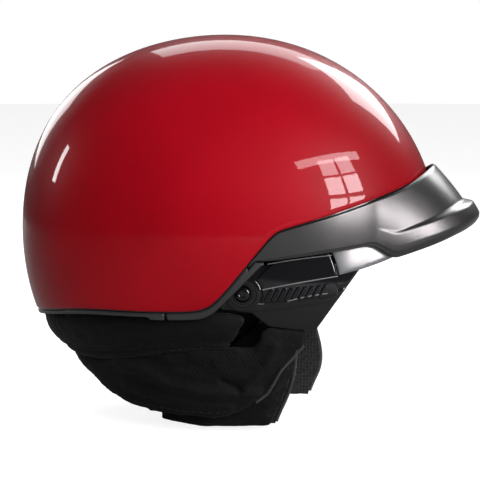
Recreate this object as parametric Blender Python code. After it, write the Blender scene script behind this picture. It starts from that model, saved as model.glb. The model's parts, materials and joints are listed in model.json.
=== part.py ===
"""Half-jet motorcycle helmet: hard shell, peak, drop-down sun shield, liner and soft neck skirt.

Frame: metres, +Z up, front of the helmet towards -Y, the wearer's right side towards -X.
The floor the helmet stands on is Z = 0, under the flat hems of the ear flaps.
"""
import math

import bmesh
import bpy
import numpy as np
from mathutils import Matrix

MM = 0.001
ORIGIN_Y = 18.12
NAME = "motorcycle_helmet"

# Shell: a rounded dome, half sizes along X, Y and Z, each a little different front to back.
DOME_Z = 133.0
HALF_X, HALF_X_REAR = 118.0, 4.0
HALF_Y, HALF_Y_REAR = 144.0, -3.0
HALF_Z, HALF_Z_TOP = 137.5, -4.5
SQUARE, SQUARE_REAR = 0.012, 0.018
SHELL_THICK = 3.0
COLUMNS = 64
STEP = 360.0 / COLUMNS

# Depths below the outer surface of the shell.
EPS_OUT, EPS_IN = 4.4, 32.0
PAD_OUT, PAD_IN = 34.6, 41.6

# Sun shield: a turned surface about the pivot line, which runs along X.
PIVOT_Y, PIVOT_Z = -23.0, 98.5
LENS_R, LENS_X, LENS_FULL = 130.0, 96.0, 262.0
HUB_X = 105.0
LENS_THICK = 2.0
ARM_R = 62.0
LENS_TOP, ARM_TOP = 52.0, 46.0
HUB_R, ARM_ROOT = 12.0, 12.8

# Ribbed grip on the arm: a band of slanted ribs between two nearly level lines.
RIBS = 9
GRIP_START, GRIP_LONG, GRIP_LEAN = -35.0, 39.0, 4.8
GRIP_DROP, GRIP_TALL, GRIP_RISE = 5.3, 8.4, 0.075

# Chin strap.
RIVET_Y, RIVET_Z = -50.0, 100.0
STRAP_W, STRAP_T = 22.0, 1.6
STRAP_PATH = [(88.5, 109), (88.5, 97), (88.5, 85), (79, 77), (67.5, 66), (59.5, 52), (51, 39), (42, 30), (30, 27.5)]
STRAP_LEAN = 0.25
BUCKLE_Y = -31.7

# Soft skirt: half width and rear reach grow with height.
SKIRT_W0, SKIRT_WK = 78.0, 0.37
SKIRT_B0, SKIRT_BK = 68.0, 0.9
SKIRT_FRONT = 126.0
ROLL_END, CURTAIN_END = 102.0, 120.0

# Peak: half angle it wraps through, its thickness, and its height at the two rear tips.
PEAK_END = 14 * STEP
PEAK_THICK = 2.6
PEAK_TIP = 3.0


def smooth(x):
    x = np.clip(x, 0.0, 1.0)
    return x * x * (3 - 2 * x)


def soft_max(a, b, k):
    return 0.5 * (a + b + np.sqrt((a - b) ** 2 + k * k))


def soft_min(a, b, k):
    return 0.5 * (a + b - np.sqrt((a - b) ** 2 + k * k))


def dome_raw(phi, t):
    """Point of the outer surface: phi from the front towards the right, t from the top down."""
    s = np.sin(t)
    u, v, w = -s * np.sin(phi), -s * np.cos(phi), np.cos(t)
    f = 1 + (SQUARE + SQUARE_REAR * v) * 4 * (u * u * v * v + v * v * w * w + w * w * u * u)
    return np.stack([(HALF_X + HALF_X_REAR * v) * u * f,
                     (HALF_Y + HALF_Y_REAR * v) * v * f,
                     DOME_Z + (HALF_Z + HALF_Z_TOP * w) * w * f], -1)


def dome(phi, t, out=0.0):
    """The same point moved out (or in, when negative) along the normal."""
    phi, t = np.broadcast_arrays(np.asarray(phi, float), np.asarray(t, float))
    e = 1e-4
    p = dome_raw(phi, t)
    tt = np.maximum(t, 2e-3)
    a = dome_raw(phi + e, tt) - dome_raw(phi - e, tt)
    b = dome_raw(phi, tt + e) - dome_raw(phi, tt - e)
    n = np.cross(a, b)
    n /= np.linalg.norm(n, axis=-1, keepdims=True) + 1e-12
    n *= np.sign((n * (p - np.array([0, 0, DOME_Z]))).sum(-1, keepdims=True))
    return p + n * np.asarray(out, float)[..., None]


def rim_z(y):
    """Height of the shell's lower edge: level at the back, a ramp, then rising to the brow."""
    rear = 86.0 - 0.0022 * np.maximum(y - 65.0, 0) ** 2
    ramp = 114.5 - 1.27 * (y + 24.5)
    s = -y - 45.0
    front = 140.8 + 0.23 * s + 0.0009 * s * s
    return soft_min(soft_max(rear, ramp, 10.0), front, 4.0)


def trim_z(y):
    """Height of the lower edge of the trim below the shell."""
    side = soft_max(80.5, 105.6 - 1.06 * (y + 25.0), 7.0)
    return np.where(y > 38.0, rim_z(y) - 3.6, np.minimum(side, rim_z(y) - 2.0))


def t_at(phi, height, out=0.0):
    """The t at which the surface has dropped to height(y)."""
    phi = np.asarray(phi, float)
    lo, hi = np.full(phi.shape, 0.4), np.full(phi.shape, 2.5)
    for _ in range(36):
        mid = (lo + hi) / 2
        p = dome(phi, mid, out)
        above = p[..., 2] > height(p[..., 1])
        lo, hi = np.where(above, mid, lo), np.where(above, hi, mid)
    return (lo + hi) / 2


def lens_gap(p):
    """How far a point lies inside the shield's turned surface (mm, about)."""
    x = np.abs(p[..., 0])
    y, z = p[..., 1] - PIVOT_Y, p[..., 2] - PIVOT_Z
    r2 = y * y + z * z
    q = (x / LENS_X) ** 2 * (1 - (x / LENS_FULL) ** 2)
    f = r2 / LENS_R ** 2 + q - 1
    gx = 2 * x / LENS_X ** 2 - 4 * x ** 3 / (LENS_X ** 2 * LENS_FULL ** 2)
    g = np.sqrt(gx ** 2 + 4 * r2 / LENS_R ** 4) + 1e-9
    return np.minimum(-f / g, HUB_X - x)


def lens_x(r):
    """Half width of the shield's turned surface at a distance r from the pivot line."""
    q = 1 - (r / LENS_R) ** 2
    root = np.sqrt(np.maximum(1 - 4 * q * LENS_X ** 2 / LENS_FULL ** 2, 0))
    return soft_min(HUB_X, np.sqrt(LENS_FULL ** 2 / 2 * (1 - root)), 6.0)


def on_lens(r, a, side, inward=0.0):
    """Point at distance r and angle a (degrees above the front) on the shield's surface."""
    a = np.radians(a)
    e = 0.5
    slope = (lens_x(r + e) - lens_x(np.maximum(r - e, 0))) / (e + np.minimum(r, e))
    n = np.sqrt(1 + slope ** 2)
    rr = r + inward * slope / n
    return np.stack([side * (lens_x(r) - inward / n),
                     PIVOT_Y - rr * np.cos(a), PIVOT_Z + rr * np.sin(a)], -1)


# ---------------------------------------------------------------- building blocks

def material(name, colour, roughness, metallic=0.0):
    m = bpy.data.materials.get(name) or bpy.data.materials.new(name)
    m.use_nodes = True
    b = m.node_tree.nodes["Principled BSDF"]
    b.inputs["Base Color"].default_value = (*colour, 1)
    b.inputs["Roughness"].default_value = roughness
    b.inputs["Metallic"].default_value = metallic
    m.diffuse_color = (*colour, 1)
    return m


def finish(name, bm, look, sharp=35.0, origin=None):
    bmesh.ops.recalc_face_normals(bm, faces=bm.faces)
    if bm.calc_volume(signed=True) < 0:
        bmesh.ops.reverse_faces(bm, faces=bm.faces)
    mesh = bpy.data.meshes.new(name)
    bm.to_mesh(mesh)
    bm.free()
    ob = bpy.data.objects.new(name, mesh)
    PARTS.objects.link(ob)
    mesh.materials.append(material(name, *look))
    mesh.shade_smooth()
    mesh.set_sharp_from_angle(angle=math.radians(sharp))
    if origin is not None:
        at = np.array(origin) * MM
        co = np.empty(len(mesh.vertices) * 3, np.float32)
        mesh.vertices.foreach_get("co", co)
        mesh.vertices.foreach_set("co", (co.reshape(-1, 3) - at).astype(np.float32).ravel())
        ob.location = at
    return ob


def place(bm, points):
    for v, p in zip(bm.verts, points):
        v.co = [c * MM for c in p]


def slab(name, fn, nu, nv, look, sharp=35.0, origin=None):
    """A grid nu x nv with two faces, w = 0 outside and w = 1 inside, laid on fn(u, v, w)."""
    bm = bmesh.new()
    bmesh.ops.create_grid(bm, x_segments=nu, y_segments=nv, size=0.5)
    up = bmesh.ops.extrude_face_region(bm, geom=bm.faces[:])["geom"]
    for v in up:
        if isinstance(v, bmesh.types.BMVert):
            v.co.z = 1.0
    co = np.array([v.co[:] for v in bm.verts])
    place(bm, fn(co[:, 0] + 0.5, co[:, 1] + 0.5, co[:, 2]))
    return finish(name, bm, look, sharp, origin)


def cap(name, outer, inner, columns, rows, look, sharp=35.0):
    """A thick open dome: a sphere's upper half is the outer face, its lower half the inner face."""
    bm = bmesh.new()
    bmesh.ops.create_uvsphere(bm, u_segments=columns, v_segments=2 * rows, radius=1.0)
    co = np.array([v.co[:] for v in bm.verts])
    polar = np.arccos(np.clip(co[:, 2], -1, 1)) / math.pi * 2 * rows
    row = np.round(polar)
    phi = np.arctan2(-co[:, 0], -co[:, 1])
    s_out, s_in = row / rows, (2 * rows - row) / (rows - 1)
    place(bm, np.where((row <= rows)[:, None], outer(phi, s_out), inner(phi, s_in)))
    return finish(name, bm, look, sharp)


def disc(name, x0, x1, r0, r1, y, z, look, sides=24, hole=0.0):
    """A round piece along X from x0 (radius r0) to x1 (radius r1), with a bore when hole > 0."""
    side = 1.0 if x1 > x0 else -1.0
    curve = bpy.data.curves.new(name, "CURVE")
    curve.dimensions = "2D"
    curve.fill_mode = "BOTH"
    curve.extrude = abs(x1 - x0) / 2
    for r in [r0] + ([hole] if hole else []):
        s = curve.splines.new("POLY")
        s.points.add(sides - 1)
        for i, p in enumerate(s.points):
            a = 2 * math.pi * i / sides
            p.co = (r * math.cos(a), r * math.sin(a), 0, 1)
        s.use_cyclic_u = True
    tmp = bpy.data.objects.new(name + "_curve", curve)
    bpy.context.scene.collection.objects.link(tmp)
    deps = bpy.context.evaluated_depsgraph_get()
    mesh = bpy.data.meshes.new_from_object(tmp.evaluated_get(deps))
    bpy.data.objects.remove(tmp)
    bpy.data.curves.remove(curve)
    bm = bmesh.new()
    bm.from_mesh(mesh)
    bpy.data.meshes.remove(mesh)
    bmesh.ops.remove_doubles(bm, verts=bm.verts, dist=1e-4)
    mid = (x0 + x1) / 2
    points = []
    for v in bm.verts:
        x, c = v.co.z * side, 1.0
        if x * side > 0 and math.hypot(v.co.x, v.co.y) > hole + 1e-3:
            c = r1 / r0
        points.append((mid + x, y + v.co.x * c, z + v.co.y * c))
    place(bm, points)
    return finish(name, bm, look, origin=(mid, y, z))


def box(bm, lo, hi):
    """One more box in bm, from corner lo to corner hi."""
    made = bmesh.ops.create_cube(bm, size=1.0)["verts"]
    for v in made:
        v.co = [(l + h) / 2 * MM + c * (h - l) * MM for c, l, h in zip(v.co, lo, hi)]
    return made


def join(a, b):
    """Unite b into a and remove b."""
    mod = a.modifiers.new("union", "BOOLEAN")
    mod.operation = "UNION"
    mod.object = b
    deps = bpy.context.evaluated_depsgraph_get()
    mesh = bpy.data.meshes.new_from_object(a.evaluated_get(deps))
    a.modifiers.remove(mod)
    a.data = mesh
    bpy.data.objects.remove(b)
    return a


# ---------------------------------------------------------------- hard shell and liner

RED = ((0.33, 0.004, 0.012), 0.12)
GREY = ((0.085, 0.085, 0.09), 0.35)
PEAK_GREY = ((0.17, 0.17, 0.175), 0.38)
GLOSS = ((0.006, 0.006, 0.007), 0.1)
FOAM = ((0.02, 0.02, 0.021), 0.85)
CLOTH = ((0.012, 0.012, 0.013), 0.8)
KNIT = ((0.02, 0.02, 0.022), 0.9)
STEEL = ((0.55, 0.55, 0.56), 0.3, 1.0)
WEB = ((0.018, 0.018, 0.02), 0.7)
SMOKE = ((0.35, 0.37, 0.38), 0.06)


def rim_t(phi):
    return t_at(phi, rim_z)


def outer_shell():
    return cap("outer_shell", lambda p, s: dome(p, s * rim_t(p)),
               lambda p, s: dome(p, s * rim_t(p), -SHELL_THICK), COLUMNS, 11, RED)


def eps_depth(phi, t):
    """Depth of the foam's outer face: pulled in where the stowed shield needs room."""
    depth = np.full(np.shape(phi), EPS_OUT)
    p = dome(phi, t, -depth)
    front = smooth((105.0 - np.degrees(np.abs(np.arctan2(np.sin(phi), np.cos(phi))))) / 10.0)
    angle = np.degrees(np.arctan2(p[..., 2] - PIVOT_Z, -(p[..., 1] - PIVOT_Y)))
    radius = np.hypot(p[..., 1] - PIVOT_Y, p[..., 2] - PIVOT_Z)
    zone = front * np.maximum(smooth((84.0 - angle) / 16.0), smooth((85.0 - radius) / 15.0))
    side = smooth((np.abs(p[..., 0]) - 70.0) / 15.0)
    need = 5.5 + 4.5 * side
    for _ in range(24):
        p = dome(phi, t, -depth)
        lack = np.clip(need - lens_gap(p), 0, 3) * zone
        depth = np.minimum(depth + lack * 0.7, 27.0)
    return depth


def eps_liner():
    def outer(p, s):
        t = s * rim_t(p) * 0.985
        return dome(p, t, -eps_depth(p, t))
    return cap("eps_liner", outer, lambda p, s: dome(p, s * rim_t(p) * 0.985, -EPS_IN), 32, 10, FOAM)


def crown_pad():
    return cap("crown_pad", lambda p, s: dome(p, s * rim_t(p) * 0.6, -PAD_OUT),
               lambda p, s: dome(p, s * rim_t(p) * 0.6, -PAD_IN), 24, 6, KNIT)


def ring_pad(name, start, end, columns):
    """A pad of the ring around the head, between two angles from the front, in degrees."""
    def fn(u, v, w):
        phi = np.radians(start + (end - start) * u)
        t = rim_t(phi) * (0.65 + 0.33 * v)
        return dome(phi, t, -(PAD_OUT + (PAD_IN + 1.0 - PAD_OUT) * w))
    return slab(name, fn, columns, 4, KNIT)


def peak_low(phi):
    """Height of the peak's lower edge at an angle from the front, in degrees."""
    return np.interp(phi, [0, 8, 16, 22.5, 29.3, 35.8, 42.5, 57.6, 74.1, PEAK_END],
                     [136.2, 134.8, 131.5, 127.4, 123.1, 118.9, 128.5, 125.3, 120.9, 122.0])


def peak_visor():
    """One wrap-around piece: flush with the shell at the sides, a stepped brim at the front."""
    rows = [0, 0.27, 0.543, 0.628, 0.72, 0.814, 0.91, 1.0]
    reach = [7.0, 13.4, 19.7, 26.0, 28.5, 30.6, 28.8, 25.0]

    def fn(u, v, w):
        deg = -PEAK_END + 2 * PEAK_END * u
        phi = np.radians(deg)
        a = np.abs(deg)
        step = np.interp(v, np.arange(len(rows)) / (len(rows) - 1.0), rows)
        brim = np.clip(1 - (a / 42.0) ** 2, 0, None) ** 1.5
        edge = dome(phi, rim_t(phi))
        top = edge[..., 2] - 0.8 + 7.1 * np.clip(1 - (a / 37.0) ** 2, 0, None) ** 2
        z = top + (np.minimum(peak_low(a), edge[..., 2] - PEAK_TIP) - top) * step
        p = dome(phi, t_at(phi, lambda y: z))
        out = 0.3 + (np.interp(step, rows, reach) - 0.3) * brim - PEAK_THICK * w
        h = p[..., :2] / np.linalg.norm(p[..., :2], axis=-1, keepdims=True)
        q = p.copy()
        q[..., :2] += h * out[..., None]
        return q
    return slab("peak_visor", fn, 28, 7, PEAK_GREY, sharp=25)


def trim(name, columns, side, thick):
    """Edge strip below the shell, on the same columns as the shell."""
    def fn(u, v, w):
        deg = np.interp(u, np.linspace(0, 1, len(columns)), columns) * side
        phi = np.radians(deg)
        a = np.abs(deg)
        top = rim_t(phi)
        low = t_at(phi, trim_z)
        if name != "rear_trim":
            tip = dome(phi, top)[..., 2] - PEAK_TIP
            under = t_at(phi, lambda y: np.minimum(peak_low(a), tip) - 0.9)
            top = np.where(a < PEAK_END + 0.1, np.maximum(top, under), top)
        gap = 0.5 / 120.0
        low = np.maximum(low, top + 2.0 / 120.0)
        t = top + gap + (low - top - gap) * v
        return dome(phi, t, -thick * w)
    return slab(name, fn, len(columns) - 1, 2, GREY)


def trims():
    side = [PEAK_END - 4.0] + [i * STEP for i in range(14, 19)]
    for name, sign in (("side_trim_right", 1), ("side_trim_left", -1)):
        trim(name, side, sign, 3.6)
    trim("rear_trim", [101.8] + [i * STEP for i in range(19, 46)] + [258.2], 1, 3.0)


# ---------------------------------------------------------------- sun shield

def lens_low(r):
    return 10.5 + 6.0 * np.clip((r - 60.0) / 73.0, 0, 1) ** 2


def sun_shield_lens():
    """Clear turned shield between the two arms."""
    edge = float(lens_x(np.array(ARM_R + 0.3)))
    top_angle = math.asin(edge / 110.0)

    def fn(u, v, w):
        x = 110.0 * np.sin(top_angle * (2 * u - 1))
        q = (x / LENS_X) ** 2 * (1 - (x / LENS_FULL) ** 2)
        r = LENS_R * np.sqrt(1 - q)
        side = np.sign(x)
        corner = LENS_TOP - 4.0 * smooth((np.abs(x) - 60.0) / (edge - 60.0))
        a = lens_low(r) + (corner - lens_low(r)) * v
        e = 0.05
        q2 = ((np.abs(x) + e) / LENS_X) ** 2 * (1 - ((np.abs(x) + e) / LENS_FULL) ** 2)
        dr = (LENS_R * np.sqrt(1 - q2) - r) / e
        n = np.sqrt(1 + dr ** 2)
        rr = r - LENS_THICK * w / n
        xx = x + side * LENS_THICK * w * dr / n
        a = np.radians(a)
        return np.stack([xx, PIVOT_Y - rr * np.cos(a), PIVOT_Z + rr * np.sin(a)], -1)
    return slab("sun_shield_lens", fn, 22, 7, SMOKE, origin=(0, PIVOT_Y, PIVOT_Z))


def arm_low(r):
    """Angle of the arm's lower edge, which runs just below the grip."""
    return -np.degrees(np.arcsin((GRIP_DROP + 0.9 - GRIP_RISE * (r - HUB_R)) / r))


def shield_arm(name, side):
    """Sector plate that carries the lens, from the hub ring out to the lens."""
    def fn(u, v, w):
        r = ARM_ROOT + (ARM_R - 0.5 - ARM_ROOT) * u
        low = arm_low(r)
        a = low + (ARM_TOP - low) * v
        return on_lens(r, a, side, LENS_THICK * w)
    return slab(name, fn, 8, 5, GLOSS, origin=(side * HUB_X, PIVOT_Y, PIVOT_Z))


def shield_grip(name, side):
    """Ribbed strip along the lower edge of the arm: a thin base with slanted ribs."""
    def fn(u, v, w):
        rib = np.isin(np.round(u * (4 * RIBS - 1)).astype(int) % 4, (1, 2))
        y = GRIP_START - GRIP_LONG * u - GRIP_LEAN * v
        z = PIVOT_Z - GRIP_DROP + GRIP_RISE * GRIP_LONG * u + GRIP_TALL * v
        r = np.hypot(y - PIVOT_Y, z - PIVOT_Z)
        a = np.degrees(np.arctan2(z - PIVOT_Z, PIVOT_Y - y))
        return on_lens(r, a, side, -0.4 - (1 - w) * (0.5 + 0.8 * rib))
    return slab(name, fn, 4 * RIBS - 1, 1, GLOSS, sharp=25, origin=(side * HUB_X, PIVOT_Y, PIVOT_Z))


def side_plate(name, side):
    """Fixed plate behind the arm: it carries the pivot and closes the side below the shell."""
    low = [(-8, 86.5), (-28.5, 85.0), (-40, 75.5), (-57, 73.2), (-71, 72)]
    top = [(2, 113), (-22, 117), (-48, 119), (-76, 119), (-103, 117)]

    def fn(u, v, w):
        k = np.linspace(0, 1, 5)
        a = [np.interp(u, k, [p[i] for p in low]) for i in (0, 1)]
        b = [np.interp(u, k, [p[i] for p in top]) for i in (0, 1)]
        y, z = (a[i] + (b[i] - a[i]) * v for i in (0, 1))
        r = np.hypot(y - PIVOT_Y, z - PIVOT_Z)
        ang = np.degrees(np.arctan2(z - PIVOT_Z, -(y - PIVOT_Y)))
        return on_lens(r, ang, side, 3.4 + 2.6 * w)
    return slab(name, fn, 8, 6, GLOSS)


def pivots():
    for tag, side in (("right", -1), ("left", 1)):
        disc(f"shield_hub_{tag}", side * 100.0, side * 102.0, HUB_R, HUB_R, PIVOT_Y, PIVOT_Z, GLOSS, 24, 5.4)
        disc(f"pivot_screw_{tag}", side * 98.9, side * 104.5, 5.0, 4.2, PIVOT_Y, PIVOT_Z, GLOSS, 20)


# ---------------------------------------------------------------- soft skirt

def skirt(psi, z, inset=0.0):
    """Outer face of the skirt: psi in degrees from the back, inset is level."""
    a = np.radians(psi)
    w = SKIRT_W0 + SKIRT_WK * z - inset
    b = np.where(np.cos(a) > 0, SKIRT_B0 + SKIRT_BK * z - inset, SKIRT_FRONT)
    return np.stack([-w * np.sin(a), b * np.cos(a), z], -1)


def neck_roll():
    """Padded roll below the rear trim, from one side plate round the back to the other."""
    def fn(u, v, w):
        psi = -ROLL_END + 2 * ROLL_END * u
        a = np.radians(psi)
        y0 = 131.0 * np.cos(a)
        top = np.minimum(trim_z(y0) - 1.4, 83.0)
        back = smooth(np.cos(a) * 1.2)
        low = 58.0 - 13.0 * back
        q = 1 - v
        z = low + (top - low) * q
        round_ = 1 - (1 - q) ** 2.2
        width = 96.5 + 10.5 * round_ - 12.0 * w
        reach = 105.7 + 23.0 * round_ - 13.0 * w
        z = z + w * 5.0 * (1 - q)
        reach = np.where(np.cos(a) > 0, reach, SKIRT_FRONT)
        return np.stack([-width * np.sin(a), reach * np.cos(a), z], -1)
    return slab("neck_roll", fn, 30, 4, CLOTH)


def hem_z(psi):
    """Height of the skirt's lower edge round the helmet, psi in degrees from the back."""
    return np.interp(np.abs(psi), [0, 20, 40, 60, 75, 92, 100.5, 107.6, 112, CURTAIN_END],
                     [24, 21, 16, 13, 11, 10, 18, 30, 46, 64])


def curtain_top(psi):
    a = np.abs(psi)
    back = smooth(np.cos(np.radians(a)) * 1.2)
    return 56.0 - 13.5 * back + 13.5 * smooth((a - 103.5) / 3.0)


def neck_curtain():
    """Draped skirt below the roll: low at the sides, cut away towards the face."""
    def fn(u, v, w):
        psi = np.interp(u, [0, 0.1, 0.9, 1], [-CURTAIN_END, -103.5, 103.5, CURTAIN_END])
        top, low = curtain_top(psi), hem_z(psi)
        z = top + (low - top) * v
        return skirt(psi, z, 7.5 * w)
    return slab("neck_curtain", fn, 40, 5, CLOTH)


def flap_at(u, v, inset, side):
    """Hanging flap: u from the front edge back, v from the top down to the floor. Towards the
    nape its hem curls in around the neck; it is long enough to stand on."""
    z = (68.0 - 15.0 * smooth((u - 0.3) / 0.3)) * (1 - v)
    front = -58.0 + 14.0 * smooth(v ** 2)
    back = -12.0 + 50.0 * smooth(v * 1.2)
    y = front + (back - front) * u
    curl = 20.0 * smooth((y - 6.0) / 32.0) * smooth(v)
    x = (SKIRT_W0 + SKIRT_WK * z - inset) * np.sqrt(1 - (y / SKIRT_FRONT) ** 2) - curl
    return np.stack([side * x, y, z], -1)


def flaps():
    for tag, side in (("right", -1), ("left", 1)):
        slab(f"ear_flap_{tag}", lambda u, v, w: flap_at(u, v, 11.0 + 7.5 * w, side), 9, 6, CLOTH)

        def lining(u, v, w):
            return flap_at(0.06 + 0.5 * u, 0.06 + 0.86 * v, 19.4 + 2.6 * w, side)
        slab(f"flap_lining_{tag}", lining, 5, 5, KNIT)


# ---------------------------------------------------------------- chin strap

def along(path, s):
    """Point and normal at a fraction s of a path's length, in the X-Z plane."""
    p = np.array(path, float)
    for _ in range(2):
        q = np.repeat(p, 2, axis=0)[1:-1]
        q[0::2] = 0.75 * p[:-1] + 0.25 * p[1:]
        q[1::2] = 0.25 * p[:-1] + 0.75 * p[1:]
        p = np.vstack([p[:1], q, p[-1:]])
    d = np.concatenate([[0], np.cumsum(np.linalg.norm(np.diff(p, axis=0), axis=1))])

    def at(k):
        k = np.clip(k, 0, 1) * d[-1]
        return np.stack([np.interp(k, d, p[:, 0]), np.interp(k, d, p[:, 1])], -1)
    t = at(s + 0.02) - at(s - 0.02)
    t /= np.linalg.norm(t, axis=-1, keepdims=True)
    return at(s), np.stack([-t[..., 1], t[..., 0]], -1)


def webbing(name, side, path):
    def fn(u, v, w):
        c, n = along(path, u)
        p = c + n * (STRAP_T * (w - 0.5))[..., None]
        y = RIVET_Y + STRAP_LEAN * (RIVET_Z - p[..., 1]) + STRAP_W * (v - 0.5)
        return np.stack([side * p[..., 0], y, p[..., 1]], -1)
    return slab(name, fn, 20, 1, WEB, origin=(side * 88.5, RIVET_Y, RIVET_Z))


def chin_strap():
    right = STRAP_PATH[:-1] + [(28, 27.0), (4, 26.2)]
    left = STRAP_PATH[:-1] + [(37.5, 28.6)]
    webbing("chin_strap_right", -1, right)
    webbing("chin_strap_left", 1, left)
    for tag, side in (("right", -1), ("left", 1)):
        disc(f"strap_rivet_{tag}", side * 92.4, side * 89.7, 6.0, 6.0, RIVET_Y, RIVET_Z, STEEL, 16)
        disc(f"strap_washer_{tag}", side * 87.0, side * 85.2, 6.5, 5.0, RIVET_Y, RIVET_Z, STEEL, 20)


def buckle():
    """Quick-release buckle: channel frame, toothed tongue, sprung lever and its pin."""
    mid = BUCKLE_Y
    bm = bmesh.new()
    box(bm, (2, mid - 14, 28.6), (33, mid + 14, 30.4))
    plate = finish("buckle_frame", bm, STEEL)
    for sign in (-1, 1):
        b2 = bmesh.new()
        lo, hi = sorted((mid + sign * 14, mid + sign * 12.2))
        box(b2, (2, lo, 18.0), (33, hi, 29.5))
        join(plate, finish("wall", b2, STEEL))
    b3 = bmesh.new()
    box(b3, (31, mid - 13, 22.0), (33, mid + 13, 29.5))
    join(plate, finish("wall", b3, STEEL))

    bm = bmesh.new()
    box(bm, (-2, mid - 9.5, 23.4), (26, mid + 9.5, 25.0))
    tongue = finish("ratchet_tongue", bm, ((0.03, 0.03, 0.03), 0.4))
    for i in range(6):
        b2 = bmesh.new()
        made = box(b2, (3 + 3.6 * i, mid - 6, 22.2), (6 + 3.6 * i, mid + 6, 24.2))
        for v in made:
            if v.co.z < 0.023 and v.co.x < (4.5 + 3.6 * i) * MM:
                v.co.z += 1.0 * MM
        join(tongue, finish("tooth", b2, STEEL))

    bm = bmesh.new()
    box(bm, (2, mid - 10.5, 18.4), (25.6, mid + 10.5, 20.4))
    lever = finish("buckle_lever", bm, ((0.35, 0.01, 0.015), 0.35))
    b2 = bmesh.new()
    box(b2, (-4, mid - 8, 17.2), (3, mid + 8, 19.4))
    join(lever, finish("lip", b2, STEEL))
    hinge = (28.0 * MM, mid * MM, 20.0 * MM)
    lever.data.transform(Matrix.Translation([-c for c in hinge]))
    lever.location = hinge

    bm = bmesh.new()
    bmesh.ops.create_cone(bm, cap_ends=True, segments=16, radius1=1.9 * MM, radius2=1.9 * MM, depth=23.6 * MM)
    for v in bm.verts:
        v.co = (hinge[0] + v.co.x, hinge[1] + v.co.z, hinge[2] + v.co.y)
    finish("lever_pin", bm, STEEL)


# ---------------------------------------------------------------- assembly

for old in list(bpy.data.objects):
    bpy.data.objects.remove(old)
PARTS = bpy.data.collections.new(NAME)
bpy.context.scene.collection.children.link(PARTS)

outer_shell()
eps_liner()
crown_pad()
ring_pad("brow_pad", -60, 60, 12)
ring_pad("temple_pad_right", 63, 124, 6)
ring_pad("temple_pad_left", -124, -63, 6)
ring_pad("nape_pad", 127, 233, 10)
peak_visor()
trims()
sun_shield_lens()
for label, way in (("right", -1), ("left", 1)):
    shield_arm(f"shield_arm_{label}", way)
    shield_grip(f"shield_grip_{label}", way)
    side_plate(f"side_plate_{label}", way)
pivots()
neck_roll()
neck_curtain()
flaps()
chin_strap()
buckle()
for piece in PARTS.objects:
    piece.location.y += ORIGIN_Y * MM
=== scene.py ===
"""Looks of the half-jet motorcycle helmet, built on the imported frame."""
import json
import math

import bmesh
import bpy
import numpy as np
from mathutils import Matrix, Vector, noise
from mathutils.bvhtree import BVHTree


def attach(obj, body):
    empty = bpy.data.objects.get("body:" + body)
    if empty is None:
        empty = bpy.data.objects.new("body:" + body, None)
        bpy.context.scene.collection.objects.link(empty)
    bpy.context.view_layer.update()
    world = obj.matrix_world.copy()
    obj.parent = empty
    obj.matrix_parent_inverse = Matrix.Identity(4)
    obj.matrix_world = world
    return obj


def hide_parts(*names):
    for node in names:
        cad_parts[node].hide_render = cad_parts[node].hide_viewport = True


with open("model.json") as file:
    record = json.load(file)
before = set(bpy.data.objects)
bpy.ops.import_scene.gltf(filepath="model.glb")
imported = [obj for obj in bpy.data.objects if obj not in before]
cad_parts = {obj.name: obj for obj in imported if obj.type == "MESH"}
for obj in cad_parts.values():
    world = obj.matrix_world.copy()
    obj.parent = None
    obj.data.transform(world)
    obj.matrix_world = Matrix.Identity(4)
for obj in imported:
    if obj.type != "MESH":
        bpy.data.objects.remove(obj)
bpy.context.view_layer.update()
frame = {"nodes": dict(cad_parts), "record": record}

MM = 0.001
RECORD = frame["record"]
HINGE = [j for j in RECORD["behaviour"]["joints"] if j["name"] == "sun_shield_hinge"][0]
PIVOT_Y, PIVOT_Z = -23.0, HINGE["pos_m"][2] / MM
ORIGIN_Y = HINGE["pos_m"][1] / MM - PIVOT_Y
SHIFT = np.array([0, ORIGIN_Y, 0])      # from the helmet's own axes to the frame's, mm

# ---------------------------------------------------------------- camera, floor, light

def new_object(name, data):
    ob = bpy.data.objects.new(name, data)
    bpy.context.scene.collection.objects.link(ob)
    return ob


AZ, EL, DIST = math.radians(-84.0), math.radians(6.0), 1.4
AIM_Z, AIM_RIGHT, AIM_DOWN = 0.133, 0.0105, 0.0101
back = Vector((math.sin(AZ) * math.cos(EL), -math.cos(AZ) * math.cos(EL), math.sin(EL)))
right = (-back).cross(Vector((0, 0, 1))).normalized()
up = right.cross(-back)
aim = Vector((0, ORIGIN_Y * MM, AIM_Z)) + right * AIM_RIGHT - up * AIM_DOWN
cam = new_object("camera", bpy.data.cameras.new("camera"))
cam.location = aim + back * DIST
cam.rotation_euler = (-back).to_track_quat("-Z", "Y").to_euler()
cam.data.sensor_width = 36.0
cam.data.lens = 150.0
cam.data.clip_start = 0.01
bpy.context.scene.camera = cam


def look(name, build):
    """A node material; build(nodes, links, bsdf) finishes it."""
    m = bpy.data.materials.new(name)
    m.use_nodes = True
    nt = m.node_tree
    build(nt.nodes, nt.links, nt.nodes["Principled BSDF"])
    return m


FLOOR_R, FLOOR_DROP, FLOOR_GLOW = 6.0, 0.0004, 0.86     # m, m below the hems, white seen by the camera
ROOM_GLOW = 0.09
LIT_Z = 0.14                                            # height the lamps point at, m
WINDOW_AWAY, REAR_AWAY = 1.9, 1.8                       # lamp distances, in lengths of their directions
PANE_STEP_X, PANE_STEP_Z, PANE_Z0 = 0.36, 0.34, -0.30   # window panes, m


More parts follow.
